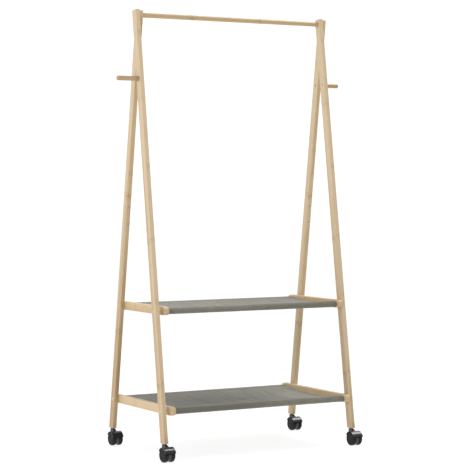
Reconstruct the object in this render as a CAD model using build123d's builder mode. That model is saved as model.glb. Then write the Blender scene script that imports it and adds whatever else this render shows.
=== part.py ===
from build123d import *
import os
from math import atan, cos, degrees, radians, sin, tan

# Rolling clothes rack: two bamboo A-frames, a hanging bar, two cloth shelves, four twin-wheel casters.
# Millimetres. X runs along the hanging bar, -Y is the front, Z is up and the floor is z = 0.

# ---------------------------------------------------------------- driving dimensions
rack_width = 816.0        # outer face of one A-frame to outer face of the other
rack_height = 1600.0      # floor to the highest corner of the legs
foot_spread = 444.0       # between the leg centre lines at the leg ends, front to rear

leg_thick = 16.0          # leg section along X
leg_wide = 31.0           # leg section across the leg
leg_edge = 1.5            # rounding of the long edges
lap_height = 855.0        # middle of the glued half-lap in each leg
lap_length = 120.0
lap_screw_pitch = 63.0

bar_drop = 20.0           # top of the legs to the axis of the hanging bar
bar_dia = 18.0

peg_drop = 252.0          # top of the legs to the axis of the pegs
peg_dia = 17.0
peg_length = 84.0
peg_tip_edge = 1.5        # rounding of the free end

shelf_heights = {"upper": 521.0, "lower": 172.0}    # axes of the shelf rods
rail_thick = 18.0
rail_tall = 30.0
rail_overhang = 25.0      # rod axis to the rounded end of the rail
rail_edge = 1.2
rod_dia = 16.0

cloth_thick = 1.6
cloth_sag = 12.0          # dip of the cloth in the middle of the shelf
cloth_side_gap = 3.0      # cloth edge to rail

wheel_dia = 50.0
wheel_thick = 15.0
wheel_gap = 13.0          # between the two wheels of a caster
wheel_shoulder = 6.0      # rounding of the tread towards the outer face
wheel_inner_edge = 1.0
hood_edge = 1.0
hub_recess_dia = 34.0
hub_recess_deep = 1.6
caster_height = 62.0      # floor to the leg end
caster_trail = 22.0       # swivel axis to axle
axle_dia = 6.0
axle_cover = 3.0          # wheel left between the axle end and the hub recess
axle_bead_dia = 7.2       # ring on the axle that holds the wheel on
axle_bead_wide = 1.6
axle_bead_in = 3.0        # middle of the ring to the axle end
stem_dia = 8.0
stem_pin_deep = 20.0      # pivot pin inside the housing
stem_thread = 18.0        # threaded length above the leg end
stem_flange_dia = 13.0
stem_flange_thick = 2.5
stem_tip_edge = 1.0
hood_thick = 1.8
hood_width = 43.0
hood_front_angle = 164.0  # where the hood ends, from the rear horizontal over the top
hood_rear_angle = 28.0
web_set_back = 3.0        # edge of the housing web inside the hood
swivel_boss_wall = 3.5    # round the pivot pin
swivel_boss_share = 0.72  # height above the axle where the boss starts, of the hood radius
neck_under_share = 0.4    # depth below the axle where the neck starts, of the wheel radius
neck_rear_rise = 3.9      # rear corner of the neck above the axle
neck_front_share = 0.3    # front corner of the neck, of the hood radius, forward of the axle
neck_top_share = 0.93     # and above it

bolt_dia = 6.0
bolt_head_dia = 12.0
bolt_head_thick = 3.0
bolt_grip = 22.0          # thread inside the rod or the bar
bolt_hex = 4.0            # across the flats of the hex socket
bolt_socket_deep = 1.8
plug_thick = 3.0          # wood plug over each bolt head
insert_dia = 10.0
insert_length = 14.0
screw_dia = 4.0
screw_head_dia = 8.0
screw_head_deep = 2.4
screw_point_angle = 22.0
cross_share = 0.55        # cross recess, of the head
cross_wide = 1.0
cross_deep = 1.4
lap_screw_length = 26.0
peg_screw_dia = 5.0
peg_screw_head_dia = 9.5
peg_screw_grip = 30.0     # length inside the peg
stem_insert_dia = 11.0
stem_insert_length = 20.0

# ---------------------------------------------------------------- fits
wood_fit = 0.05           # radial, wood or thread held still
running_fit = 0.05        # radial, shaft that turns in a bore
hole_fit = 0.25           # radial, bolt or screw through a drilled hole
axial_play = 0.3          # end play of a wheel or of the housing
wheel_clear = 0.7         # hood to tread
sleeve_fit = 0.2          # radial, cloth sleeve round its rod

# ---------------------------------------------------------------- derived places
half_width = rack_width / 2
half_spread = foot_spread / 2
bar_height = rack_height - bar_drop
peg_height = rack_height - peg_drop
head_seat = plug_thick + bolt_head_thick    # depth of a bolt's counterbore
counterbore = bolt_head_dia / 2 + hole_fit
lean = atan(half_spread / (rack_height - caster_height))
leg_length = (rack_height - caster_height - leg_wide / 2 * sin(lean)) / cos(lean)

wheel_radius = wheel_dia / 2
hood_inner = wheel_radius + wheel_clear
hood_outer = hood_inner + hood_thick
front_reach = half_spread + caster_trail + max(wheel_radius, -hood_outer * cos(radians(hood_front_angle)))
rear_reach = max(
    half_spread + leg_wide / 2 / cos(lean),
    half_spread - (shelf_heights["lower"] - caster_height) * tan(lean) + rail_overhang,
)
mid_y = (front_reach - rear_reach) / 2    # middle plane of the rack, so that the origin is centred

# name: (lowest x, -1 front or +1 rear); the outer leg of each frame carries a peg
legs = {
    "left_front": (-half_width, -1),
    "left_rear": (-half_width + leg_thick, 1),
    "right_front": (half_width - 2 * leg_thick, -1),
    "right_rear": (half_width - leg_thick, 1),
}
outer_legs = ("left_front", "right_rear")


def axis_y(height, side):
    """Y of a leg's centre line at a height; side is -1 at the front and +1 at the rear."""
    return mid_y + side * (half_spread - (height - caster_height) * tan(lean))


def leg_plane(name):
    """Sketch plane of a leg: X across it towards the inside of the A, Y up its centre line."""
    x_low, side = legs[name]
    x_start = x_low if side < 0 else x_low + leg_thick
    return Plane(
        origin=(x_start, axis_y(caster_height, side), caster_height),
        x_dir=(0, -side * cos(lean), -sin(lean)),
        z_dir=(-side, 0, 0),
    )


def along_leg(height):
    """Distance up a leg's centre line to a height above the floor."""
    return (height - caster_height) / cos(lean)


def x_plane(x, y, z, facing):
    """Plane with its normal along X; facing is +1 or -1."""
    return Plane(origin=(x, y, z), x_dir=(0, facing, 0), z_dir=(facing, 0, 0))


def boss(plane, radius, height, taper=0):
    """Adds a round bar that stands on a plane; a negative height runs below the plane."""
    with BuildSketch(plane) as profile:
        Circle(radius)
    extrude(profile.sketch, amount=height, taper=taper)


def bore(plane, radius, depth, taper=0):
    """Cuts a round hole from a plane down into the part being built."""
    with BuildSketch(plane) as profile:
        Circle(radius)
    extrude(profile.sketch, amount=-depth, taper=taper, mode=Mode.SUBTRACT)


def level_plane(x, y, z, facing=1):
    """Horizontal plane; facing is +1 for a normal that points up and -1 for down."""
    return Plane(origin=(x, y, z), x_dir=(1, 0, 0), z_dir=(0, 0, facing))


def caster_origin(name):
    """X and Y of the swivel axis under a leg."""
    x_low, side = legs[name]
    return x_low + leg_thick / 2, axis_y(caster_height, side)


def save(part, name):
    part.label = name
    export_step(part, f"parts/{name}.step")


os.makedirs("parts", exist_ok=True)


# ---------------------------------------------------------------- legs
def frame_end(name):
    """-1 for the left A-frame, +1 for the right one."""
    return -1 if name.startswith("left") else 1


def cut_cross_holes(name, low, high):
    """Drills the leg along X for the shelf bolts, the peg screw and the bar bolt that lie in low..high."""
    x_low, side = legs[name]
    end = frame_end(name)
    x_out = x_low if end < 0 else x_low + leg_thick
    for height in shelf_heights.values():
        if low < height < high:
            bolt_plane = x_plane(x_out, axis_y(height, side), height, end)
            bore(bolt_plane, counterbore, head_seat)
            bore(bolt_plane, bolt_dia / 2 + hole_fit, leg_thick)
    if low < peg_height < high:
        x_in = x_low + leg_thick if end < 0 else x_low
        peg_plane = x_plane(x_in, axis_y(peg_height, side), peg_height, -end)
        sink = countersink_angle(peg_screw_head_dia, peg_screw_dia)
        bore(peg_plane, peg_screw_head_dia / 2 + hole_fit, screw_head_deep, taper=sink)
        bore(peg_plane, peg_screw_dia / 2 + hole_fit, leg_thick)
    if low < bar_height < high:
        bar_plane = x_plane(x_out, mid_y, bar_height, end)
        bore(bar_plane, bolt_dia / 2 + hole_fit, leg_thick)
        if name in outer_legs:
            bore(bar_plane, counterbore, head_seat)


def cut_lap_holes(plane):
    """Drills the lap for its two screws, which come in from the inside face of the A."""
    for offset in (-lap_screw_pitch / 2, lap_screw_pitch / 2):
        screw_plane = lap_screw_plane(plane, offset)
        sink = countersink_angle(screw_head_dia, screw_dia)
        bore(screw_plane, screw_head_dia / 2 + hole_fit, screw_head_deep, taper=sink)
        bore(screw_plane, screw_dia / 2 + hole_fit, lap_screw_length)


def countersink_angle(head_dia, shank_dia):
    """Half angle of a countersunk head, in degrees."""
    return degrees(atan((head_dia - shank_dia) / 2 / screw_head_deep))


def lap_screw_plane(plane, offset):
    """Plane on the inside face of a leg at a lap screw, with its normal out of the wood."""
    middle = Vector(leg_wide / 2, along_leg(lap_height) + offset, leg_thick / 2)
    return Plane(origin=plane.from_local_coords(middle), x_dir=plane.z_dir, z_dir=plane.x_dir)


def round_long_edges(part, plane):
    """Rounds the outer long edges of a leg piece and leaves the lap faces sharp."""
    long_edges = part.edges().filter_by(Axis(plane.origin, plane.y_dir))
    return long_edges.filter_by(
        lambda edge: abs(abs(plane.to_local_coords(edge.center()).X) - leg_wide / 2) < 0.01
    )


for name in legs:
    plane = leg_plane(name)
    half = leg_wide / 2
    lap_low = along_leg(lap_height) - lap_length / 2
    lap_high = along_leg(lap_height) + lap_length / 2

    with BuildPart() as upper_leg:
        with BuildSketch(plane):
            with BuildLine():
                Polyline(
                    (-half, lap_high),
                    (-half, leg_length),
                    (half, leg_length),
                    (half, lap_low),
                    (0, lap_low),
                    (0, lap_high),
                    close=True,
                )
            make_face()
        extrude(amount=leg_thick)
        fillet(round_long_edges(upper_leg, plane), leg_edge)
        cut_cross_holes(name, lap_height, rack_height)
        cut_lap_holes(plane)
    save(upper_leg.part, f"{name}_upper_leg")

    with BuildPart() as lower_leg:
        with BuildSketch(plane):
            with BuildLine():
                Polyline(
                    (-half, -half * tan(lean)),
                    (-half, lap_high),
                    (0, lap_high),
                    (0, lap_low),
                    (half, lap_low),
                    (half, half * tan(lean)),
                    close=True,
                )
            make_face()
        extrude(amount=leg_thick)
        fillet(round_long_edges(lower_leg, plane), leg_edge)
        cut_cross_holes(name, 0, lap_height)
        cut_lap_holes(plane)
        x, y = caster_origin(name)
        bore(level_plane(x, y, caster_height, -1), stem_insert_dia / 2, stem_insert_length)
    save(lower_leg.part, f"{name}_lower_leg")


# ---------------------------------------------------------------- hanging bar, shelf rods, pegs
def bore_rod_end(x, y, z, facing):
    """Sinks the seat of a threaded insert, and the clearance for the bolt tip, into a rod end."""
    end_plane = x_plane(x, y, z, facing)
    bore(end_plane, insert_dia / 2, insert_length)
    bore(end_plane, bolt_dia / 2 + hole_fit, bolt_grip + axial_play)


def rod_span(side):
    """Lowest and highest x of the shelf rod on a side: each end stops at the leg that holds it."""
    inner = half_width - 2 * leg_thick
    outer = half_width - leg_thick
    return (-outer, inner) if side < 0 else (-inner, outer)


bar_end = half_width - 2 * leg_thick
with BuildPart() as hanging_bar:
    boss(x_plane(-bar_end, mid_y, bar_height, 1), bar_dia / 2, 2 * bar_end)
    for end in (-1, 1):
        bore_rod_end(end * bar_end, mid_y, bar_height, end)
save(hanging_bar.part, "hanging_bar")

side_names = {-1: "front", 1: "rear"}
for shelf, height in shelf_heights.items():
    for side, side_name in side_names.items():
        x_from, x_to = rod_span(side)
        y = axis_y(height, side)
        with BuildPart() as shelf_rod:
            boss(x_plane(x_from, y, height, 1), rod_dia / 2, x_to - x_from)
            bore_rod_end(x_from, y, height, -1)
            bore_rod_end(x_to, y, height, 1)
        save(shelf_rod.part, f"{shelf}_shelf_{side_name}_rod")

peg_screw_tip = leg_thick + peg_screw_grip
for name in outer_legs:
    end = frame_end(name)
    y = axis_y(peg_height, legs[name][1])
    with BuildPart() as peg:
        boss(x_plane(end * half_width, y, peg_height, end), peg_dia / 2, peg_length)
        tip = peg.edges().filter_by(GeomType.CIRCLE).sort_by(Axis.X)[-1 if end > 0 else 0]
        fillet(tip, peg_tip_edge)
        root_plane = x_plane(end * half_width, y, peg_height, -end)
        bore(root_plane, peg_screw_dia / 2 + wood_fit, peg_screw_grip + axial_play)
    save(peg.part, "left_peg" if end < 0 else "right_peg")


# ---------------------------------------------------------------- shelf rails and cloth
def rail_low_x(end):
    """Lowest x of a rail, which lies against the inner leg of its frame."""
    inner_face = half_width - 2 * leg_thick
    return -inner_face if end < 0 else inner_face - rail_thick


for shelf, height in shelf_heights.items():
    y_front = axis_y(height, -1)
    y_rear = axis_y(height, 1)
    length = y_rear - y_front + 2 * rail_overhang
    for end, end_name in ((-1, "left"), (1, "right")):
        rail_plane = x_plane(rail_low_x(end), (y_front + y_rear) / 2, height, 1)
        with BuildPart() as rail:
            with BuildSketch(rail_plane):
                SlotOverall(length, rail_tall)
                with Locations((y_front - mid_y, 0), (y_rear - mid_y, 0)):
                    Circle(rod_dia / 2 + wood_fit, mode=Mode.SUBTRACT)
            extrude(amount=rail_thick)
            flat_faces = rail.faces().filter_by(Axis.X)
            outlines = [edge for face in flat_faces for edge in face.outer_wire().edges()]
            fillet(outlines, rail_edge)
        save(rail.part, f"{shelf}_shelf_{end_name}_rail")

    cloth_reach = half_width - 2 * leg_thick - rail_thick - cloth_side_gap
    sleeve_inner = rod_dia / 2 + sleeve_fit
    sleeve_outer = sleeve_inner + cloth_thick
    half_span = (y_rear - y_front) / 2
    top_dip = sleeve_outer - cloth_sag
    under_dip = sleeve_inner - cloth_sag
    with BuildPart() as cloth:
        with BuildSketch(x_plane(-cloth_reach, mid_y, height, 1)):
            with BuildLine():
                top = ThreePointArc((-half_span, sleeve_outer), (0, top_dip), (half_span, sleeve_outer))
                under = ThreePointArc((-half_span, sleeve_inner), (0, under_dip), (half_span, sleeve_inner))
                Line(top @ 0, under @ 0)
                Line(top @ 1, under @ 1)
            make_face()
            with Locations((-half_span, 0), (half_span, 0)):
                Circle(sleeve_outer)
                Circle(sleeve_inner, mode=Mode.SUBTRACT)
        extrude(amount=2 * cloth_reach)
    save(cloth.part, f"{shelf}_shelf_cloth")


# ---------------------------------------------------------------- fasteners
def add_bolt(x_head, y, z, facing, grip_from):
    """Adds a socket-head joint bolt: head recessed in the leg, thread ending in the rod."""
    length = abs(x_head - grip_from) - bolt_head_thick + bolt_grip
    head_plane = x_plane(x_head, y, z, facing)
    boss(head_plane, bolt_head_dia / 2, -bolt_head_thick)
    boss(head_plane.offset(-bolt_head_thick), bolt_dia / 2, -length)
    with BuildSketch(head_plane) as socket:
        RegularPolygon(bolt_hex / 2, 6, major_radius=False)
    extrude(socket.sketch, amount=-bolt_socket_deep, mode=Mode.SUBTRACT)


def add_insert(x_end, y, z, facing):
    """Adds a threaded sleeve flush with a rod end."""
    with BuildSketch(x_plane(x_end, y, z, facing)) as ring:
        Circle(insert_dia / 2)
        Circle(bolt_dia / 2 + wood_fit, mode=Mode.SUBTRACT)
    extrude(ring.sketch, amount=-insert_length)


with BuildPart() as bar_bolts:
    for end in (-1, 1):
        add_bolt(end * (half_width - plug_thick), mid_y, bar_height, end, end * bar_end)
save(bar_bolts.part, "bar_bolts")

with BuildPart() as bar_inserts:
    for end in (-1, 1):
        add_insert(end * bar_end, mid_y, bar_height, end)
save(bar_inserts.part, "bar_inserts")

for shelf, height in shelf_heights.items():
    with BuildPart() as shelf_bolts:
        for name, (x_low, side) in legs.items():
            end = frame_end(name)
            x_out = x_low if end < 0 else x_low + leg_thick
            x_in = x_low + leg_thick if end < 0 else x_low
            add_bolt(x_out - end * plug_thick, axis_y(height, side), height, end, x_in)
    save(shelf_bolts.part, f"{shelf}_shelf_bolts")

    with BuildPart() as shelf_inserts:
        for side in side_names:
            x_from, x_to = rod_span(side)
            add_insert(x_from, axis_y(height, side), height, -1)
            add_insert(x_to, axis_y(height, side), height, 1)
    save(shelf_inserts.part, f"{shelf}_shelf_inserts")


with BuildPart() as bolt_plugs:
    for end in (-1, 1):
        boss(x_plane(end * half_width, mid_y, bar_height, end), counterbore - wood_fit, -plug_thick)
    for height in shelf_heights.values():
        for name, (x_low, side) in legs.items():
            end = frame_end(name)
            x_out = x_low if end < 0 else x_low + leg_thick
            boss(x_plane(x_out, axis_y(height, side), height, end), counterbore - wood_fit, -plug_thick)
save(bolt_plugs.part, "bolt_plugs")


def add_countersunk_screw(plane, shank_dia, head_dia, length):
    """Adds a countersunk wood screw with its head flush with the plane and its point below."""
    point = shank_dia
    boss(plane, head_dia / 2, -screw_head_deep, taper=countersink_angle(head_dia, shank_dia))
    boss(plane.offset(-screw_head_deep), shank_dia / 2, -(length - screw_head_deep - point))
    boss(plane.offset(-(length - point)), shank_dia / 2, -point, taper=screw_point_angle)
    with BuildSketch(plane) as cross:
        Rectangle(head_dia * cross_share, cross_wide)
        Rectangle(cross_wide, head_dia * cross_share)
    extrude(cross.sketch, amount=-cross_deep, mode=Mode.SUBTRACT)


with BuildPart() as lap_screws:
    for name in legs:
        for offset in (-lap_screw_pitch / 2, lap_screw_pitch / 2):
            add_countersunk_screw(
                lap_screw_plane(leg_plane(name), offset), screw_dia, screw_head_dia, lap_screw_length
            )
save(lap_screws.part, "lap_screws")

with BuildPart() as peg_screws:
    for name in outer_legs:
        end = frame_end(name)
        x_in = end * (half_width - leg_thick)
        head_plane = x_plane(x_in, axis_y(peg_height, legs[name][1]), peg_height, -end)
        add_countersunk_screw(head_plane, peg_screw_dia, peg_screw_head_dia, peg_screw_tip)
save(peg_screws.part, "peg_screws")


# ---------------------------------------------------------------- casters
web_thick = wheel_gap - 2 * axial_play
housing_top = caster_height - stem_flange_thick - axial_play
boss_dia = stem_dia + 2 * swivel_boss_wall


with BuildPart() as stem_inserts:
    for name in legs:
        x, y = caster_origin(name)
        with BuildSketch(level_plane(x, y, caster_height)):
            Circle(stem_insert_dia / 2)
            Circle(stem_dia / 2 + wood_fit, mode=Mode.SUBTRACT)
        extrude(amount=stem_insert_length)
save(stem_inserts.part, "caster_stem_inserts")

for name in legs:
    x, y = caster_origin(name)
    axle_y = y - caster_trail

    with BuildPart() as stem:
        boss(level_plane(x, y, caster_height), stem_dia / 2, stem_thread)
        chamfer(stem.edges().sort_by(Axis.Z)[-1], stem_tip_edge)
        with BuildSketch(level_plane(x, y, caster_height - stem_flange_thick)):
            RegularPolygon(stem_flange_dia / 2, 6, major_radius=False)
        extrude(amount=stem_flange_thick)
        boss(level_plane(x, y, housing_top - stem_pin_deep), stem_dia / 2, stem_pin_deep + axial_play)
    save(stem.part, f"{name}_caster_stem")

    with BuildPart() as housing:
        side_plane = x_plane(x - web_thick / 2, axle_y, wheel_radius, 1)
        with BuildSketch(side_plane):
            Circle(hood_inner - web_set_back)
            with BuildLine():
                Polyline(
                    (0, -wheel_radius * neck_under_share),
                    (caster_trail + boss_dia / 2, neck_rear_rise),
                    (caster_trail + boss_dia / 2, housing_top - wheel_radius),
                    (caster_trail - boss_dia / 2, housing_top - wheel_radius),
                    (-hood_inner * neck_front_share, hood_inner * neck_top_share),
                    close=True,
                )
            make_face()
        extrude(amount=web_thick)
        with BuildSketch(x_plane(x - hood_width / 2, axle_y, wheel_radius, 1)):
            with BuildLine():
                outer = CenterArc((0, 0), hood_outer, hood_rear_angle, hood_front_angle - hood_rear_angle)
                inner = CenterArc((0, 0), hood_inner, hood_rear_angle, hood_front_angle - hood_rear_angle)
                Line(outer @ 0, inner @ 0)
                Line(outer @ 1, inner @ 1)
            make_face()
        extrude(amount=hood_width)
        curved_edges = housing.edges().filter_by(GeomType.CIRCLE)
        hood_rims = curved_edges.filter_by(lambda edge: abs(edge.radius - hood_outer) < 0.01)
        fillet(hood_rims, hood_edge)
        boss_low = wheel_radius + hood_outer * swivel_boss_share
        boss(level_plane(x, y, boss_low), boss_dia / 2, housing_top - boss_low)
        bore(level_plane(x, y, housing_top), stem_dia / 2 + running_fit, stem_pin_deep + axial_play)
        bore(side_plane.offset(web_thick), axle_dia / 2 + wood_fit, web_thick)
    save(housing.part, f"{name}_caster_housing")

    bore_end = wheel_gap / 2 + wheel_thick - hub_recess_deep - axle_cover
    axle_half = bore_end - axial_play
    bead_from = axle_half - axle_bead_in - axle_bead_wide / 2
    with BuildPart() as axle:
        boss(x_plane(x - axle_half, axle_y, wheel_radius, 1), axle_dia / 2, 2 * axle_half)
        for end in (-1, 1):
            bead_plane = x_plane(x + end * bead_from, axle_y, wheel_radius, end)
            boss(bead_plane, axle_bead_dia / 2, axle_bead_wide)
    save(axle.part, f"{name}_caster_axle")

    for end, end_name in ((-1, "left"), (1, "right")):
        with BuildPart() as wheel:
            inner_x = x + end * wheel_gap / 2
            boss(x_plane(inner_x, axle_y, wheel_radius, end), wheel_radius, wheel_thick)
            rims = wheel.edges().filter_by(GeomType.CIRCLE).sort_by(Axis.X)
            outer_rim = rims[-1] if end > 0 else rims[0]
            inner_rim = rims[0] if end > 0 else rims[-1]
            fillet(outer_rim, wheel_shoulder)
            fillet(inner_rim, wheel_inner_edge)
            face_plane = x_plane(inner_x + end * wheel_thick, axle_y, wheel_radius, end)
            bore(face_plane, hub_recess_dia / 2, hub_recess_deep)
            inner_plane = x_plane(inner_x, axle_y, wheel_radius, -end)
            bore(inner_plane, axle_dia / 2 + running_fit, bore_end - wheel_gap / 2)
            groove_plane = x_plane(x + end * (bead_from - axial_play), axle_y, wheel_radius, -end)
            bore(groove_plane, axle_bead_dia / 2 + running_fit, axle_bead_wide + 2 * axial_play)
        save(wheel.part, f"{name}_{end_name}_wheel")
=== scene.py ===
import math
import random

import bmesh
import bpy
from mathutils import Euler, Matrix, Vector


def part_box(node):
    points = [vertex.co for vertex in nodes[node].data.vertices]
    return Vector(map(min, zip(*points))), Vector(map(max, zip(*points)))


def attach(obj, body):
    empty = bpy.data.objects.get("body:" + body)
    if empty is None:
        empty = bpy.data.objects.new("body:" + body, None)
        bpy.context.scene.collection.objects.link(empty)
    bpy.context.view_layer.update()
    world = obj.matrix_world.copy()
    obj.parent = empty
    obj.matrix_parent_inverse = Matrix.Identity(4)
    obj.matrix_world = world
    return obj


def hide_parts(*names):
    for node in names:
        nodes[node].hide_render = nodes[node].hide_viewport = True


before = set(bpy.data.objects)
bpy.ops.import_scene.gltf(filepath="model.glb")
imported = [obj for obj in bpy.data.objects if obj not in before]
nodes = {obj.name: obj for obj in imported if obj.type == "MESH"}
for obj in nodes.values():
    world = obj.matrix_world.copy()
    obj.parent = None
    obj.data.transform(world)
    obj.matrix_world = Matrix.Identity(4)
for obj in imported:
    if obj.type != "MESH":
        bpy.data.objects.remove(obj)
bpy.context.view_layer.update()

# Rolling clothes rack: bamboo A-frames, hanging bar, two cloth shelves, black twin-wheel casters.
# Metres. The bamboo, steel and hoods are the CAD pieces; cloth, wheels and trims are made here.

MM = 0.001
ACROSS_X = (1, 0, 0)


# ---------------------------------------------------------------- places read from the frame
def node_middle(name):
    low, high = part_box(name)
    return (low + high) / 2


def node_size(name):
    low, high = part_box(name)
    return high - low


LEGS = ("left_front", "left_rear", "right_front", "right_rear")
SHELVES = ("upper", "lower")
ROD_RADIUS = node_size("upper_shelf_front_rod").z / 2
LEG_THICK = node_size("left_front_upper_leg").x
LEG_HALF_WIDE = 15.5 * MM
FOOT_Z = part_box("left_front_lower_leg")[0].z
RACK_MID = node_middle("hanging_bar")


def leg_lean(leg):
    """Angle of a leg from the vertical in the YZ plane, positive when its top lies towards +Y."""
    top = node_middle(f"{leg}_upper_leg")
    foot = node_middle(f"{leg}_lower_leg")
    return math.atan2(top.y - foot.y, top.z - foot.z)


# ---------------------------------------------------------------- small helpers for shader graphs
class Graph:
    """Builds the node tree of one material, one call for each node."""

    def __init__(self, name):
        self.material = bpy.data.materials.new(name)
        self.material.use_nodes = True
        self.tree = self.material.node_tree
        self.shader = self.tree.nodes["Principled BSDF"]

    def node(self, kind, **settings):
        made = self.tree.nodes.new(kind)
        for key, value in settings.items():
            setattr(made, key, value)
        return made

    def feed(self, socket, value):
        if isinstance(value, bpy.types.NodeSocket):
            self.tree.links.new(value, socket)
        else:
            socket.default_value = value

    def math(self, operation, a, b=0.0, c=0.0):
        made = self.node("ShaderNodeMath", operation=operation)
        for socket, value in zip(made.inputs, (a, b, c)):
            self.feed(socket, value)
        return made.outputs[0]

    def ramp(self, value, low, high, out_low=0.0, out_high=1.0):
        """Smooth step of a value from low..high to out_low..out_high."""
        made = self.node("ShaderNodeMapRange", interpolation_type="SMOOTHSTEP")
        for socket, entry in zip(made.inputs, (value, low, high, out_low, out_high)):
            self.feed(socket, entry)
        return made.outputs[0]

    def vector(self, x, y, z):
        made = self.node("ShaderNodeCombineXYZ")
        for socket, value in zip(made.inputs, (x, y, z)):
            self.feed(socket, value)
        return made.outputs[0]

    def split(self, vector):
        made = self.node("ShaderNodeSeparateXYZ")
        self.feed(made.inputs[0], vector)
        return made.outputs

    def noise(self, vector, scale=1.0, detail=2.0, roughness=0.5):
        made = self.node("ShaderNodeTexNoise")
        self.feed(made.inputs["Vector"], vector)
        made.inputs["Scale"].default_value = scale
        made.inputs["Detail"].default_value = detail
        made.inputs["Roughness"].default_value = roughness
        return made.outputs["Fac"]

    def cells(self, vector):
        made = self.node("ShaderNodeTexWhiteNoise", noise_dimensions="3D")
        self.feed(made.inputs["Vector"], vector)
        return made.outputs["Value"]

    def blend(self, share, a, b):
        """Mixes two colours; sockets 6 and 7 are the colour inputs of the node and output 2 its colour."""
        made = self.node("ShaderNodeMix", data_type="RGBA")
        self.feed(made.inputs["Factor"], share)
        self.feed(made.inputs[6], a)
        self.feed(made.inputs[7], b)
        return made.outputs[2]

    def bump(self, height, distance, strength=1.0):
        made = self.node("ShaderNodeBump")
        made.inputs["Strength"].default_value = strength
        made.inputs["Distance"].default_value = distance
        self.feed(made.inputs["Height"], height)
        self.feed(self.shader.inputs["Normal"], made.outputs[0])

    def place(self, turn=(0, 0, 0), centre=(0, 0, 0)):
        """Object coordinates turned about a centre, so that a pattern can follow a piece."""
        coordinates = self.node("ShaderNodeTexCoord").outputs["Object"]
        mapping = self.node("ShaderNodeMapping", vector_type="POINT")
        self.feed(mapping.inputs["Vector"], coordinates)
        mapping.inputs["Rotation"].default_value = turn
        shift = -(Euler(turn).to_matrix() @ Vector(centre))
        mapping.inputs["Location"].default_value = shift
        return mapping.outputs[0]

    def set(self, **values):
        """Uniform values of the shader, by socket name with _ for a space."""
        for key, value in values.items():
            self.shader.inputs[key.replace("_", " ")].default_value = value


# ---------------------------------------------------------------- bamboo
STRIP_THICK = LEG_THICK / 3
STRIP_WIDE = 10.5 * MM
BAMBOO_LIGHT = (0.640, 0.492, 0.302, 1)
BAMBOO_MID = (0.520, 0.370, 0.198, 1)
BAMBOO_DARK = (0.310, 0.195, 0.100, 1)
BAMBOO_EDGE = (0.690, 0.560, 0.385, 1)
BAMBOO_CARAMEL = (0.330, 0.190, 0.082, 1)


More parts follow.
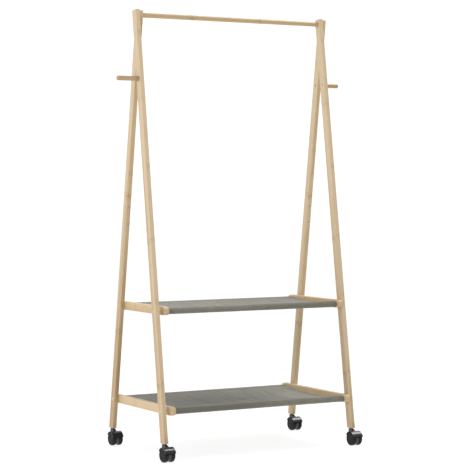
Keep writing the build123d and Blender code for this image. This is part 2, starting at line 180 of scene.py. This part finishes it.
def bamboo(name, turn, centre, half_size, seed, knots_at, knot_gap=0.51,
           round_bar=False, foot_shade=0.0, darkening=0.0, mark=1.0):
    """Laminated or turned bamboo whose grain runs along its own Z after the turn."""
    g = Graph(name)
    place = g.place(turn, centre)
    x, y, z = g.split(place)
    strip_x = g.math("FLOOR", g.math("DIVIDE", g.math("ADD", x, STRIP_THICK / 2), STRIP_THICK))
    strip_y = g.math("FLOOR", g.math("DIVIDE", g.math("ADD", y, STRIP_WIDE / 2), STRIP_WIDE))
    if round_bar:
        strip_x = g.math("MULTIPLY", strip_x, 0.0)
    strip = g.cells(g.vector(strip_x, strip_y, seed))
    strip_two = g.cells(g.vector(strip_y, strip_x, seed + 3.7))

    fibre = g.noise(g.vector(g.math("MULTIPLY", x, 2600), g.math("MULTIPLY", y, 2600),
                             g.math("MULTIPLY", z, 22)), 1.0, 3.0, 0.6)
    streak = g.noise(g.vector(g.math("MULTIPLY", x, 420), g.math("MULTIPLY", y, 420),
                              g.math("MULTIPLY", z, 3.2)), 1.0, 2.0, 0.5)
    cloud = g.noise(place, 9.0 + seed % 3, 1.0, 0.5)

    # a knot is a thin bowed line across each strip, at its own height
    wobble = g.math("MULTIPLY", g.math("SUBTRACT", streak, 0.5), 14 * MM)
    stagger = g.math("MULTIPLY", g.math("SUBTRACT", strip_two, 0.5), 16 * MM)
    height = g.math("ADD", g.math("ADD", z, wobble), stagger)
    turns = g.math("DIVIDE", g.math("SUBTRACT", height, knots_at), knot_gap)
    off = g.math("ABSOLUTE", g.math("SUBTRACT", turns, g.math("ROUND", turns)))
    away = g.math("MULTIPLY", off, knot_gap)
    knot = g.ramp(away, 0.8 * MM, 4.2 * MM, 1.0, 0.0)
    halo = g.ramp(away, 3 * MM, 24 * MM, 1.0, 0.0)

    tone = g.math("ADD", g.math("MULTIPLY", strip, 0.55), g.math("MULTIPLY", streak, 0.75))
    tone = g.math("ADD", tone, g.math("MULTIPLY", g.math("SUBTRACT", cloud, 0.5), 0.5))
    colour = g.blend(g.ramp(tone, 0.25, 1.05), BAMBOO_LIGHT, BAMBOO_MID)
    # blends the whole piece towards caramel; on the hanging bar and the pegs this darkening is painted
    # shade
    if darkening:
        colour = g.blend(darkening, colour, BAMBOO_CARAMEL)
    if foot_shade:
        # painted shade, darker towards the foot of the leg
        colour = g.blend(g.ramp(z, 0.9, 0.05, 0.0, foot_shade), colour, BAMBOO_CARAMEL)
    colour = g.blend(g.ramp(fibre, 0.50, 0.86, 0.0, 0.42), colour, BAMBOO_DARK)
    colour = g.blend(g.math("MULTIPLY", halo, 0.16 * mark), colour, BAMBOO_CARAMEL)
    colour = g.blend(g.math("MULTIPLY", knot, 0.60 * mark), colour, BAMBOO_DARK)

    if round_bar:
        edge = 0.0
        joint = 0.0
    else:
        from_side = g.math("SUBTRACT", half_size[0], g.math("ABSOLUTE", x))
        from_face = g.math("SUBTRACT", half_size[1], g.math("ABSOLUTE", y))
        corner = g.math("ADD", from_side, from_face)
        edge = g.ramp(corner, 0.4 * MM, 2.6 * MM, 1.0, 0.0)
        colour = g.blend(g.math("MULTIPLY", edge, 0.55), colour, BAMBOO_EDGE)
        cut_x = g.math("PINGPONG", g.math("ADD", x, STRIP_THICK / 2), STRIP_THICK / 2)
        cut_y = g.math("PINGPONG", g.math("ADD", y, STRIP_WIDE / 2), STRIP_WIDE / 2)
        joint = g.ramp(g.math("MINIMUM", cut_x, cut_y), 0.05 * MM, 0.35 * MM, 1.0, 0.0)
        colour = g.blend(g.math("MULTIPLY", joint, 0.22), colour, BAMBOO_DARK)
    g.feed(g.shader.inputs["Base Color"], colour)

    rough = g.math("ADD", g.math("MULTIPLY", fibre, 0.22), 0.36)
    g.feed(g.shader.inputs["Roughness"], g.math("ADD", rough, g.math("MULTIPLY", knot, 0.1)))
    relief = g.math("ADD", g.math("MULTIPLY", fibre, 0.5), g.math("MULTIPLY", knot, 0.7))
    relief = g.math("SUBTRACT", relief, g.math("MULTIPLY", joint, 0.5))
    g.bump(relief, 0.25 * MM, 0.55)
    g.set(Coat_Weight=0.12, Coat_Roughness=0.35, Specular_IOR_Level=0.42)
    return g.material


# height above the floor of the knots that show on each leg
KNOT_HEIGHTS = {"left_front": 0.262, "right_front": 0.262, "left_rear": 0.425, "right_rear": 0.421}


# share of painted shade at the foot of each leg, darker towards the floor
FOOT_SHADE_SHARE = {"left_front": 0.05, "right_front": 0.28, "left_rear": 0.50, "right_rear": 0.0}


def dress_legs():
    for index, leg in enumerate(LEGS):
        lean = leg_lean(leg)
        foot = node_middle(f"{leg}_lower_leg")
        low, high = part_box(f"{leg}_lower_leg")
        inward = 1 if lean > 0 else -1
        foot_y = (low.y if inward > 0 else high.y) + inward * LEG_HALF_WIDE / math.cos(lean)
        centre = Vector((foot.x, foot_y, FOOT_Z))
        knots_at = (KNOT_HEIGHTS[leg] - FOOT_Z) / math.cos(lean)
        for part, seed in (("upper", 11.0), ("lower", 23.0)):
            node = nodes[f"{leg}_{part}_leg"]
            material = bamboo(
                f"bamboo_{leg}_{part}", (lean, 0, 0), centre,
                (LEG_THICK / 2, LEG_HALF_WIDE), seed + index * 5.3, knots_at, foot_shade=FOOT_SHADE_SHARE[leg],
            )
            put_material(node, material)


def put_material(obj, material):
    obj.data.materials.clear()
    obj.data.materials.append(material)


def dress_rails_and_rods():
    half_turn = math.pi / 2
    for index, shelf in enumerate(SHELVES):
        for end, side in enumerate(("left", "right")):
            name = f"{shelf}_shelf_{side}_rail"
            size = node_size(name)
            material = bamboo(
                f"bamboo_{name}", (half_turn, 0, 0), node_middle(name),
                (size.x / 2, size.z / 2), 40.0 + index * 3.1 + end * 7.7, 0.055, 0.33,
                darkening=0.05, mark=0.35,
            )
            put_material(nodes[name], material)
        for end, side in enumerate(("front", "rear")):
            name = f"{shelf}_shelf_{side}_rod"
            material = bamboo(
                f"bamboo_{name}", (0, -half_turn, 0), node_middle(name),
                (ROD_RADIUS, ROD_RADIUS), 60.0 + index * 3.9 + end * 6.1, 0.12, 0.26, round_bar=True,
            )
            put_material(nodes[name], material)
    # the darkening of the hanging bar and the pegs is painted shade
    for name, seed, knots_at, darkening in (
        ("hanging_bar", 81.0, -0.166, 0.10), ("left_peg", 85.0, 0.03, 0.48), ("right_peg", 88.0, 0.5, 0.48)
    ):
        material = bamboo(
            f"bamboo_{name}", (0, -half_turn, 0), node_middle(name),
            (ROD_RADIUS, ROD_RADIUS), seed, knots_at, 0.29, round_bar=True, darkening=darkening,
        )
        put_material(nodes[name], material)


# ---------------------------------------------------------------- metal and plastic
def plated_steel(name, dark, light):
    g = Graph(name)
    place = g.place()
    mottled = g.noise(place, 900.0, 3.0)
    g.feed(g.shader.inputs["Base Color"], g.blend(mottled, dark, light))
    g.feed(g.shader.inputs["Roughness"], g.ramp(g.noise(place, 350.0, 2.0), 0.3, 0.7, 0.24, 0.42))
    g.bump(g.noise(place, 2400.0, 1.0), 0.05 * MM, 0.3)
    g.set(Metallic=1.0)
    return g.material


def brass():
    g = Graph("insert_brass")
    place = g.place()
    g.feed(g.shader.inputs["Base Color"],
           g.blend(g.noise(place, 500.0), (0.62, 0.46, 0.20, 1), (0.80, 0.64, 0.34, 1)))
    g.feed(g.shader.inputs["Roughness"], g.ramp(g.noise(place, 700.0), 0.3, 0.7, 0.28, 0.45))
    g.set(Metallic=1.0)
    return g.material


def gloss_black():
    """The glossy moulded hood: nearly black, with faint flow marks and dust in the gloss."""
    g = Graph("caster_gloss_black")
    place = g.place()
    dust = g.noise(place, 260.0, 4.0, 0.65)
    g.feed(g.shader.inputs["Base Color"],
           g.blend(g.ramp(dust, 0.45, 0.8), (0.010, 0.010, 0.011, 1), (0.030, 0.030, 0.032, 1)))
    g.feed(g.shader.inputs["Roughness"], g.ramp(dust, 0.3, 0.8, 0.22, 0.40))
    g.bump(g.noise(place, 90.0, 2.0), 0.10 * MM, 0.25)
    g.set(Specular_IOR_Level=0.5, Coat_Weight=0.30, Coat_Roughness=0.16)
    return g.material


def matt_black(name, low, high, grain):
    """Moulded nylon with a fine spark-eroded grain and a little dust."""
    g = Graph(name)
    place = g.place()
    dust = g.noise(place, 180.0, 4.0, 0.6)
    g.feed(g.shader.inputs["Base Color"],
           g.blend(g.ramp(dust, 0.4, 0.8), (low, low, low * 1.02, 1), (high, high, high * 1.02, 1)))
    g.feed(g.shader.inputs["Roughness"], g.ramp(dust, 0.3, 0.8, 0.42, 0.62))
    g.bump(g.noise(place, grain, 1.0), 0.06 * MM, 0.5)
    g.set(Specular_IOR_Level=0.24)
    return g.material


def dress_metal_and_plastic():
    steel = plated_steel("zinc_plate", (0.34, 0.32, 0.28, 1), (0.46, 0.44, 0.39, 1))
    black_steel = plated_steel("black_oxide", (0.030, 0.030, 0.032, 1), (0.070, 0.070, 0.074, 1))
    insert = brass()
    hood = gloss_black()
    for name, node in nodes.items():
        if name == "bolt_plugs":
            plug = bamboo("bamboo_plugs", (0, 0, 0), (0, 0, 0), (1, 1), 97.0, 0.9, round_bar=True)
            put_material(node, plug)
        elif name.endswith(("_bolts", "_screws")):
            put_material(node, steel)
        elif name.endswith(("_stem", "_axle")):
            put_material(node, black_steel)
        elif name.endswith("_inserts"):
            put_material(node, insert)
        elif name.endswith("_housing"):
            put_material(node, hood)
    wheel = matt_black("caster_nylon", 0.022, 0.045, 2600.0)
    for name, node in nodes.items():
        if name.endswith("_wheel"):
            put_material(node, wheel)


# ---------------------------------------------------------------- meshes made here
def new_piece(name, bm, material, body):
    mesh = bpy.data.meshes.new(name)
    bm.to_mesh(mesh)
    bm.free()
    piece = bpy.data.objects.new(name, mesh)
    bpy.context.scene.collection.objects.link(piece)
    mesh.materials.append(material)
    mesh.polygons.foreach_set("use_smooth", [True] * len(mesh.polygons))
    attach(piece, body)
    return piece


def lathe(bm, profile, centre, steps=64):
    """Spins a profile of (along X, radius) pairs about the X line through a centre."""
    ring = [bm.verts.new(centre + Vector((along, 0, radius))) for along, radius in profile]
    edges = [bm.edges.new(pair) for pair in zip(ring, ring[1:])]
    bmesh.ops.spin(
        bm, geom=ring + edges, cent=centre, axis=ACROSS_X, dvec=(0, 0, 0),
        angle=math.tau, steps=steps, use_merge=True, use_normal_flip=False, use_duplicate=False,
    )
    bmesh.ops.remove_doubles(bm, verts=bm.verts, dist=1e-6)
    bmesh.ops.recalc_face_normals(bm, faces=bm.faces)


# ---------------------------------------------------------------- caster wheels
# (outwards from the middle of the wheel, radius) in millimetres, from the blind bore to the hub cap
WHEEL_PROFILE = (
    (2.4, 0.0), (2.4, 3.1), (-7.2, 3.1), (-7.5, 3.5), (-7.5, 8.0), (-7.2, 8.6), (-4.6, 9.4), (-4.4, 10.0),
    (-4.4, 19.6), (-4.8, 20.4), (-7.2, 21.0), (-7.5, 21.5), (-7.5, 24.0), (-7.1, 24.7), (-6.5, 25.0),
    (-2.9, 25.0), (-2.6, 24.8), (-2.4, 24.3), (-1.6, 24.3), (-1.4, 24.8), (-1.1, 25.0),
    (1.5, 25.0), (3.1, 24.8), (4.5, 24.1), (5.7, 23.2), (6.6, 22.0), (7.2, 20.7), (7.5, 19.2),
    (7.5, 18.0), (7.3, 17.5), (6.6, 17.2), (6.2, 16.8), (6.1, 16.2), (6.5, 12.0), (6.8, 8.0), (6.85, 6.8),
    (6.5, 6.5), (6.4, 6.1), (6.5, 5.7), (7.2, 5.4), (7.4, 4.9), (7.45, 2.5), (7.5, 0.0),
)
WHEEL_RIBS = 12


def wheel_piece(leg, side, material):
    node = f"{leg}_{side}_wheel"
    centre = node_middle(node)
    outward = -1 if side == "left" else 1
    bm = bmesh.new()
    lathe(bm, [(outward * along * MM, radius * MM) for along, radius in WHEEL_PROFILE], centre)
    # raised spokes between the rim and the hub cap
    for index in range(WHEEL_RIBS):
        angle = math.tau * index / WHEEL_RIBS
        turn = Matrix.Rotation(angle, 4, "X")
        size = Matrix.Diagonal((0.7 * MM, 0.9 * MM, 9.6 * MM, 1))
        place = Matrix.Translation(centre) @ turn @ Matrix.Translation((outward * 6.6 * MM, 0, 11.9 * MM))
        bmesh.ops.create_cube(bm, size=1.0, matrix=place @ size)
    piece = new_piece(f"{node}_moulded", bm, material, f"{leg}_{side}_wheel")
    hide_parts(node)


def make_wheels():
    nylon = matt_black("caster_nylon_tread", 0.006, 0.018, 2600.0)
    for leg in LEGS:
        for side in ("left", "right"):
            wheel_piece(leg, side, nylon)


# ---------------------------------------------------------------- cloth shelves
CLOTH_THICK = 1.3 * MM
SHEET_COLUMNS = 118
SHEET_ROWS = 48
SEAM_IN = 16 * MM            # sleeve seam, from the rod's axis towards the middle of the shelf
SHEET_SLACK = 0.0032         # how much longer the cloth is than the straight way between the seams
SIDE_HEM = 11 * MM
SLEEVE_STEPS = 26
SLEEVE_SLACK = 3.4 * MM
SLEEVE_FROM, SLEEVE_TO = 78, 322       # degrees round the rod, from the inward side over the top
SLACK_FROM, SLACK_SPAN = 150, 210      # where the sleeve hangs away from the rod
FOLDS = {"upper": 9, "lower": 12}
FOLD_DEPTH = {"upper": 1.0, "lower": 2.1}
FOLD_HALF = {"upper": (0.013, 0.034), "lower": (0.012, 0.024)}


# share of painted shade, a blend to the darker canvas colour, at the left and at the right end of each
# shelf cloth
PAINTED_SHADE_ENDS = {"upper": (0.0, 0.45), "lower": (0.80, 0.0)}


def canvas(shelf):
    """Heathered grey-brown canvas: plain weave, slubs along both threads, a soft sheen."""
    g = Graph(f"{shelf}_shelf_canvas")
    u, v, _ = g.split(g.node("ShaderNodeUVMap", uv_map="threads").outputs[0])
    warp = g.math("SINE", g.math("MULTIPLY", u, math.tau / (1.5 * MM)))
    weft = g.math("SINE", g.math("MULTIPLY", v, math.tau / (1.5 * MM)))
    weave = g.math("MULTIPLY", warp, weft)
    slub_u = g.noise(g.vector(g.math("MULTIPLY", u, 26), g.math("MULTIPLY", v, 620), 0.0), 1.0, 3.0, 0.6)
    slub_v = g.noise(g.vector(g.math("MULTIPLY", u, 620), g.math("MULTIPLY", v, 26), 4.0), 1.0, 3.0, 0.6)
    heather = g.math("ADD", g.math("MULTIPLY", slub_u, 0.5), g.math("MULTIPLY", slub_v, 0.5))
    cloud = g.noise(g.vector(g.math("MULTIPLY", u, 9), g.math("MULTIPLY", v, 22), 0.0), 1.0, 2.0, 0.5)
    colour = g.blend(g.ramp(heather, 0.34, 0.66), CANVAS_DARK, CANVAS_LIGHT)
    colour = g.blend(g.ramp(cloud, 0.35, 0.75, 0.0, 0.25), colour, CANVAS_DUSTY)
    colour = g.blend(g.ramp(weave, -1.0, 0.2, 0.35, 0.0), colour, CANVAS_SHADOW)
    # painted shade across the width: the upper cloth darker towards its right end, the lower one towards
    # its left end
    shade = g.ramp(u, 0.28, 0.46, *PAINTED_SHADE_ENDS[shelf])
    colour = g.blend(shade, colour, CANVAS_DARK)
    g.feed(g.shader.inputs["Base Color"], colour)
    g.feed(g.shader.inputs["Roughness"], g.ramp(heather, 0.3, 0.7, 0.92, 0.74))
    g.bump(g.math("ADD", g.math("MULTIPLY", weave, 0.35), g.math("MULTIPLY", heather, 1.1)), 0.5 * MM, 0.6)
    g.set(Sheen_Weight=0.25, Sheen_Roughness=0.5, Specular_IOR_Level=0.3)
    return g.material


CANVAS_DARK = (0.136, 0.130, 0.098, 1)
CANVAS_LIGHT = (0.264, 0.254, 0.204, 1)
CANVAS_DUSTY = (0.300, 0.292, 0.250, 1)
CANVAS_SHADOW = (0.090, 0.086, 0.072, 1)
THREAD_TONE = (0.120, 0.115, 0.100, 1)


def stitched_sheet(shelf, width, y_front, y_rear, height):
    """The free sheet between the two sleeve seams after hanging, as rows of points from front to rear."""
    length = y_rear - y_front
    mesh = bpy.data.meshes.new(f"{shelf}_hanging")
    points, faces = [], []
    noise = random.Random(7 if shelf == "upper" else 19)
    folds = tension_folds(noise, shelf)
    for row in range(SHEET_ROWS + 1):
        v = row / SHEET_ROWS
        for column in range(SHEET_COLUMNS + 1):
            u = column / SHEET_COLUMNS
            ripple = 0.0 if row in (0, SHEET_ROWS) else noise.uniform(-0.15, 0.15) * MM
            points.append((width * (u - 0.5), y_front + length * v, height + ripple))
    across = SHEET_COLUMNS + 1
    for row in range(SHEET_ROWS):
        for column in range(SHEET_COLUMNS):
            first = row * across + column
            faces.append((first, first + 1, first + across + 1, first + across))
    mesh.from_pydata(points, [], faces)
    sheet = bpy.data.objects.new(f"{shelf}_hanging", mesh)
    bpy.context.scene.collection.objects.link(sheet)
    hang(sheet, across)
    evaluated = sheet.evaluated_get(bpy.context.evaluated_depsgraph_get())
    points = [tuple(vertex.co) for vertex in evaluated.data.vertices]
    points = [fold(point, shelf, width, y_front, length, folds) for point in points]
    bpy.data.objects.remove(sheet)
    bpy.context.scene.frame_set(1)
    return [points[row * across:(row + 1) * across] for row in range(SHEET_ROWS + 1)]


def tension_folds(noise, shelf):
    """Soft folds from rod to rod: (place across, slant, bow, half width, height)."""
    folds = []
    for index in range(FOLDS[shelf]):
        across = (index + noise.uniform(0.15, 0.85)) / FOLDS[shelf]
        height = noise.choice((-1, 1)) * noise.uniform(0.7, 1.7) * MM
        height *= 0.6 + 1.3 * across
        height *= FOLD_DEPTH[shelf]
        folds.append((across, noise.uniform(-0.12, 0.12), noise.uniform(-0.7, 0.7) * across,
                      noise.uniform(*FOLD_HALF[shelf]), height))
    return folds


def fold(point, shelf, width, y_front, length, folds):
    """Lifts a point of the sheet by the folds that cross it; nothing moves on the seams."""
    x, y, z = point
    u = x / width + 0.5
    v = (y - y_front) / length
    held = math.sin(math.pi * min(1.0, max(0.0, v))) ** 0.7
    rise = 0.0
    for across, slant, bow, half, height in folds:
        middle = across + slant * (v - 0.5) + bow * (v - 0.5) ** 2
        rise += height * math.exp(-(((u - middle) / half) ** 2))
    return (x, y, z + rise * held)


HANG_FRAMES = 45


def hang(sheet, across):
    """Lets the sheet settle under its own weight, held along both seams."""
    held = sheet.vertex_groups.new(name="held")
    last = len(sheet.data.vertices)
    held.add(list(range(across)) + list(range(last - across, last)), 1.0, "ADD")
    cloth = sheet.modifiers.new("cloth", "CLOTH")
    settings = cloth.settings
    settings.quality = 8
    settings.mass = 0.02
    settings.tension_stiffness = 60
    settings.compression_stiffness = 12
    settings.shear_stiffness = 8
    settings.bending_stiffness = 0.05
    settings.air_damping = 3.0
    settings.vertex_group_mass = "held"
    settings.shrink_min = -SHEET_SLACK
    settings.shrink_max = -SHEET_SLACK
    cloth.collision_settings.use_collision = False
    cloth.collision_settings.use_self_collision = False
    cloth.point_cache.frame_end = HANG_FRAMES
    scene = bpy.context.scene
    for step in range(1, HANG_FRAMES + 1):
        scene.frame_set(step)


def sleeve_path(axis_y, axis_z, side, seam_z):
    """Points round a rod from the seam over the top, down the outside and back under to the seam."""
    tight = ROD_RADIUS + 0.2 * MM + CLOTH_THICK / 2
    path = []
    for step in range(SLEEVE_STEPS + 1):
        degrees = SLEEVE_FROM + (SLEEVE_TO - SLEEVE_FROM) * step / SLEEVE_STEPS
        angle = math.radians(degrees)
        slack = max(0.0, math.sin(math.pi * (degrees - SLACK_FROM) / SLACK_SPAN))
        radius = tight + SLEEVE_SLACK * slack
        path.append((axis_y - side * radius * math.cos(angle), axis_z + radius * math.sin(angle)))
    under = seam_z - CLOTH_THICK * 1.15
    path.append((axis_y - side * (SEAM_IN * 0.80), under - 0.9 * MM))
    path.append((axis_y - side * SEAM_IN, under))
    path.append((axis_y - side * (SEAM_IN + 7 * MM), under - 0.4 * MM))
    return path


def cloth_piece(shelf, material):
    """One continuous cloth: front sleeve, hanging sheet and rear sleeve, with thread-wise UVs."""
    low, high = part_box(f"{shelf}_shelf_cloth")
    rods = {side: node_middle(f"{shelf}_shelf_{name}_rod") for side, name in ((-1, "front"), (1, "rear"))}
    axis_z = rods[1].z
    seam_z = axis_z + ROD_RADIUS - 0.6 * MM
    width = high.x - low.x
    rows = stitched_sheet(shelf, width, rods[-1].y + SEAM_IN, rods[1].y - SEAM_IN, seam_z)
    front = sleeve_path(rods[-1].y, axis_z, -1, seam_z)
    rear = sleeve_path(rods[1].y, axis_z, 1, seam_z)
    shiver = random.Random(31 if shelf == "upper" else 57)
    pucker = [shiver.uniform(-0.22, 0.22) * MM for _ in range(SHEET_COLUMNS + 1)]

    def around(path):
        made = []
        for index, (y, z) in enumerate(path):
            share = math.sin(math.pi * min(1.0, index / len(path)))
            made.append([(x, y, z + pucker[column] * share) for column, (x, _, _) in enumerate(rows[0])])
        return made

    lines = around(front)[::-1] + rows + around(rear)
    bm = bmesh.new()
    uv_layer = bm.loops.layers.uv.new("threads")
    grid = [[bm.verts.new(point) for point in line] for line in lines]
    run = [0.0]
    middle = SHEET_COLUMNS // 2
    for before, after in zip(lines, lines[1:]):
        run.append(run[-1] + (Vector(after[middle]) - Vector(before[middle])).length)
    for row in range(len(lines) - 1):
        for column in range(SHEET_COLUMNS):
            corners = (
                (row, column), (row, column + 1), (row + 1, column + 1), (row + 1, column),
            )
            face = bm.faces.new([grid[r][c] for r, c in corners])
            for loop, (r, c) in zip(face.loops, corners):
                loop[uv_layer].uv = (width * c / SHEET_COLUMNS, run[r])
    piece = new_piece(f"{shelf}_shelf_canvas", bm, material, "root")
    solid = piece.modifiers.new("thickness", "SOLIDIFY")
    solid.thickness = CLOTH_THICK
    solid.offset = 0.0
    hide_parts(f"{shelf}_shelf_cloth")
    return piece, rows, (width, run[-1])


def stitch_line(bm, points, normal_lift):
    """Short raised stitches along a polyline, three millimetres long with a one-millimetre gap."""
    pitch, length, radius = 4 * MM, 2.9 * MM, 0.32 * MM
    spent = 0.0
    for start, end in zip(points, points[1:]):
        start, end = Vector(start), Vector(end)
        span = (end - start).length
        along = (end - start).normalized()
        turn = along.to_track_quat("X", "Z").to_matrix().to_4x4()
        while spent < span:
            middle = start + along * spent + Vector((0, 0, normal_lift))
            size = Matrix.Diagonal((length / 2, radius, radius, 1))
            bmesh.ops.create_icosphere(
                bm, subdivisions=1, radius=1.0, matrix=Matrix.Translation(middle) @ turn @ size
            )
            spent += pitch
        spent -= span


def stitches(shelf, rows, material):
    lift = CLOTH_THICK / 2 + 0.1 * MM
    bm = bmesh.new()
    for row in (0, 1, SHEET_ROWS - 1, SHEET_ROWS):
        stitch_line(bm, rows[row], lift)
    hem_column = max(1, round(SIDE_HEM / (rows[0][-1][0] - rows[0][0][0]) * SHEET_COLUMNS))
    for column in (hem_column, SHEET_COLUMNS - hem_column):
        stitch_line(bm, [row[column] for row in rows], lift)
    return new_piece(f"{shelf}_shelf_stitches", bm, material, "root")


def side_hems(shelf, rows, material):
    """The folded-under strips along the two free edges of the sheet."""
    bm = bmesh.new()
    uv_layer = bm.loops.layers.uv.new("threads")
    hem_column = max(1, round(SIDE_HEM / (rows[0][-1][0] - rows[0][0][0]) * SHEET_COLUMNS)) + 1
    drop = CLOTH_THICK * 1.05
    for columns in (range(0, hem_column + 1), range(SHEET_COLUMNS - hem_column, SHEET_COLUMNS + 1)):
        grid = [[bm.verts.new((row[c][0], row[c][1], row[c][2] - drop)) for c in columns] for row in rows]
        for r in range(len(rows) - 1):
            for c in range(len(columns) - 1):
                face = bm.faces.new((grid[r][c], grid[r][c + 1], grid[r + 1][c + 1], grid[r + 1][c]))
                for loop in face.loops:
                    loop[uv_layer].uv = (loop.vert.co.x, loop.vert.co.y)
    piece = new_piece(f"{shelf}_shelf_side_hems", bm, material, "root")
    solid = piece.modifiers.new("thickness", "SOLIDIFY")
    solid.thickness = CLOTH_THICK * 0.8
    solid.offset = 0.0
    return piece


def sewing_thread():
    g = Graph("sewing_thread")
    place = g.place()
    g.feed(g.shader.inputs["Base Color"], g.blend(g.noise(place, 1500.0), THREAD_TONE, CANVAS_DARK))
    g.feed(g.shader.inputs["Roughness"], g.ramp(g.noise(place, 1800.0), 0.3, 0.7, 0.6, 0.8))
    return g.material


def make_cloth_shelves():
    thread = sewing_thread()
    for shelf in SHELVES:
        material = canvas(shelf)
        piece, rows, flat = cloth_piece(shelf, material)
        trims = [stitches(shelf, rows, thread), side_hems(shelf, rows, material)]


# ---------------------------------------------------------------- stage, light and camera
SKY_FRONT = 0.35
SKY_BACK = 1.10
SKY_LEFT = 1.10
SKY_RIGHT = 1.00
SKY_TOP = 0.85


def make_stage():
    mesh = bpy.data.meshes.new("studio_floor")
    bm = bmesh.new()
    bmesh.ops.create_circle(bm, cap_ends=True, segments=96, radius=40.0)
    bm.to_mesh(mesh)
    bm.free()
    floor = bpy.data.objects.new("studio_floor", mesh)
    bpy.context.scene.collection.objects.link(floor)
    g = Graph("studio_floor")
    place = g.place()
    g.feed(g.shader.inputs["Base Color"],
           g.blend(g.noise(place, 3.0, 2.0), (0.17, 0.17, 0.17, 1), (0.19, 0.19, 0.19, 1)))
    g.set(Roughness=0.85, Specular_IOR_Level=0.1, Emission_Color=(1, 1, 1, 1), Emission_Strength=0.86)
    put_material(floor, g.material)


def make_sky():
    """White studio sky, brightest on the left and overhead and dimmer behind the viewer."""
    world = bpy.data.worlds.new("studio")
    bpy.context.scene.world = world
    world.use_nodes = True
    tree = world.node_tree
    direction = tree.nodes.new("ShaderNodeTexCoord").outputs["Generated"]
    split = tree.nodes.new("ShaderNodeSeparateXYZ")
    tree.links.new(direction, split.inputs[0])
    level = None
    for axis, low, high in (("Y", SKY_FRONT, SKY_BACK), ("X", SKY_LEFT, SKY_RIGHT), ("Z", 1.0, SKY_TOP)):
        ramp = tree.nodes.new("ShaderNodeMapRange")
        ramp.interpolation_type = "SMOOTHSTEP"
        tree.links.new(split.outputs[axis], ramp.inputs["Value"])
        ramp.inputs["From Min"].default_value = 0.2 if axis == "Z" else -0.7
        ramp.inputs["From Max"].default_value = 1.0 if axis == "Z" else 0.3
        ramp.inputs["To Min"].default_value = low
        ramp.inputs["To Max"].default_value = high
        if level is None:
            level = ramp.outputs[0]
            continue
        product = tree.nodes.new("ShaderNodeMath")
        product.operation = "MULTIPLY"
        tree.links.new(level, product.inputs[0])
        tree.links.new(ramp.outputs[0], product.inputs[1])
        level = product.outputs[0]
    background = tree.nodes["Background"]
    background.inputs["Color"].default_value = (1.0, 1.0, 1.0, 1)
    tree.links.new(level, background.inputs["Strength"])


def softbox(name, place, aim, size, power):
    data = bpy.data.lights.new(name, "AREA")
    data.shape = "RECTANGLE"
    data.size = size[0]
    data.size_y = size[1]
    data.energy = power
    light = bpy.data.objects.new(name, data)
    bpy.context.scene.collection.objects.link(light)
    light.location = place
    light.rotation_euler = (Vector(aim) - Vector(place)).to_track_quat("-Z", "Y").to_euler()


def make_lights():
    softbox("softbox_left", (-4.0, -2.4, 2.4), (0, 0, 0.8), (1.8, 1.8), 70)
    softbox("softbox_top", (2.1, 0.1, 3.7), (0, 0, 0.3), (2.2, 1.7), 90)


CAMERA_PLACE = (-3.224, RACK_MID.y - 5.603, 0.983)
CAMERA_YAW = 30.02
CAMERA_PITCH = -0.06
CAMERA_LENS = 133.0
CAMERA_RISE = -0.1125


def make_camera():
    data = bpy.data.cameras.new("camera")
    data.lens = CAMERA_LENS
    data.sensor_width = 36.0
    data.shift_y = CAMERA_RISE
    data.clip_end = 200.0
    camera = bpy.data.objects.new("camera", data)
    bpy.context.scene.collection.objects.link(camera)
    camera.location = CAMERA_PLACE
    camera.rotation_euler = (math.radians(90 + CAMERA_PITCH), 0, math.radians(-CAMERA_YAW))
    bpy.context.scene.camera = camera


bpy.context.scene.view_settings.view_transform = "Standard"
make_stage()
make_sky()
make_lights()
make_camera()
dress_legs()
dress_rails_and_rods()
dress_metal_and_plastic()
make_wheels()
make_cloth_shelves()
